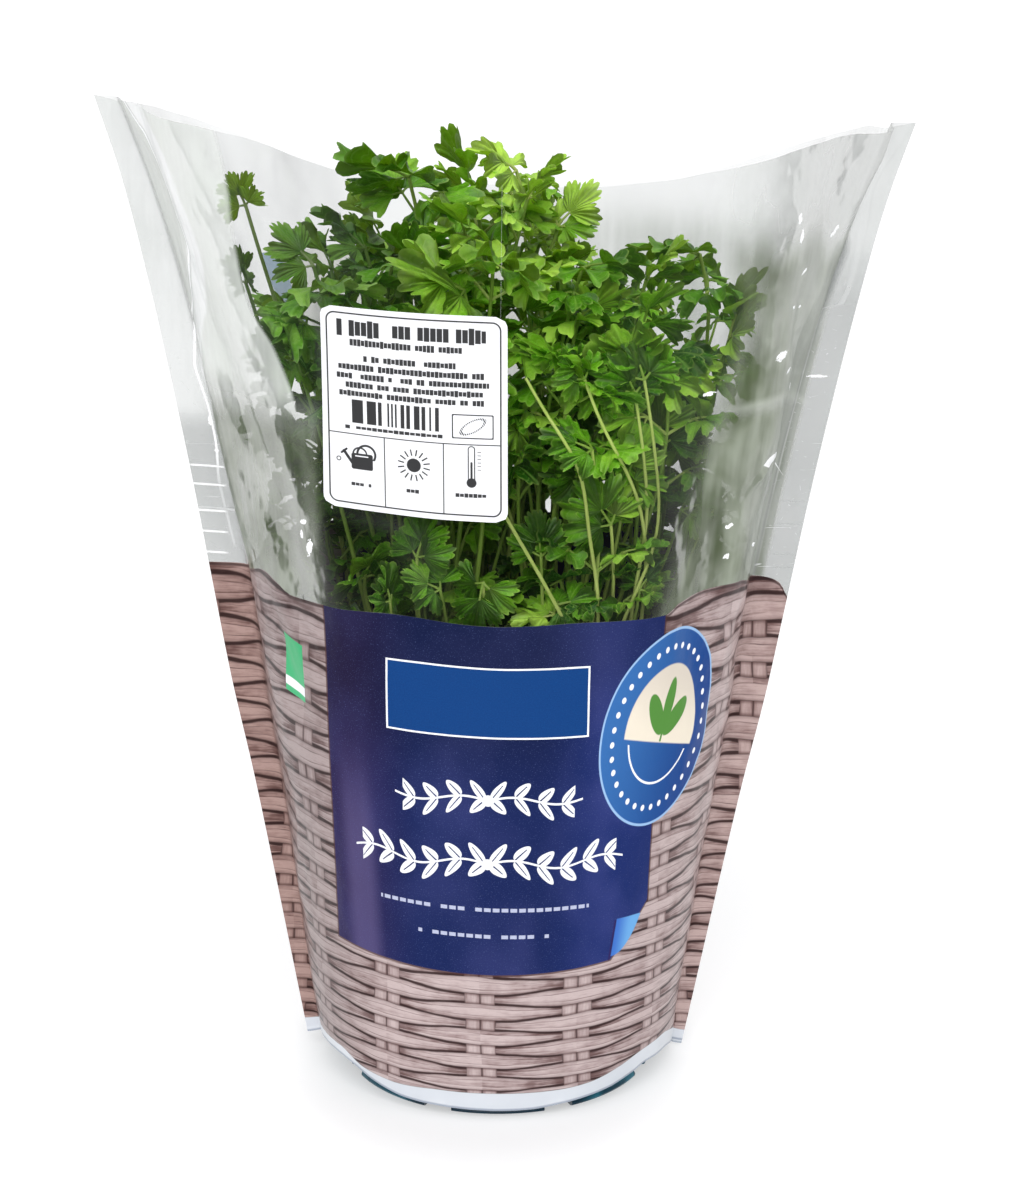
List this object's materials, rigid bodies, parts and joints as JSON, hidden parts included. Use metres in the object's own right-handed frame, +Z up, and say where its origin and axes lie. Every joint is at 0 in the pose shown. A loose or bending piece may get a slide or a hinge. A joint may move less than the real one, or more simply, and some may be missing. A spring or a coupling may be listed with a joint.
{
  "type": "potted parsley",
  "caption": "Potted parsley in a round plastic nursery pot, standing in an open flared film sleeve with a printed basket-weave lower half.",
  "frame": {"origin": "centre of the pot's underside, on the surface that it stands on", "axes": "+Z up; +X to the right and -Y towards the viewer, seen from the front with the label; +Y is the back film"},
  "size_m": [0.2358, 0.1457, 0.298],
  "materials": {
    "pot": "satin teal polypropylene",
    "soil": "moist dark peat with fibres",
    "parsley": "satin green leaves with pale yellow-green stalks",
    "sleeve_film": "glossy clear film, its lower half printed with a grey-brown basket weave and a plain navy panel",
    "label": "semi-gloss white self-adhesive paper"
  },
  "bodies": {
    "root": {"pot": "pot", "root_ball": "soil", "seedling_01": "parsley", "seedling_02": "parsley", "seedling_03": "parsley", "seedling_04": "parsley", "seedling_05": "parsley", "seedling_06": "parsley", "seedling_07": "parsley", "seedling_08": "parsley", "seedling_09": "parsley", "seedling_10": "parsley", "seedling_11": "parsley", "seedling_12": "parsley", "seedling_13": "parsley", "seedling_14": "parsley", "seedling_15": "parsley", "seedling_16": "parsley", "seedling_17": "parsley", "seedling_18": "parsley", "seedling_19": "parsley", "seedling_20": "parsley", "seedling_21": "parsley", "seedling_22": "parsley", "sleeve_front": "sleeve_film", "sleeve_back": "sleeve_film", "label": "label"}
  },
  "joints": []
}
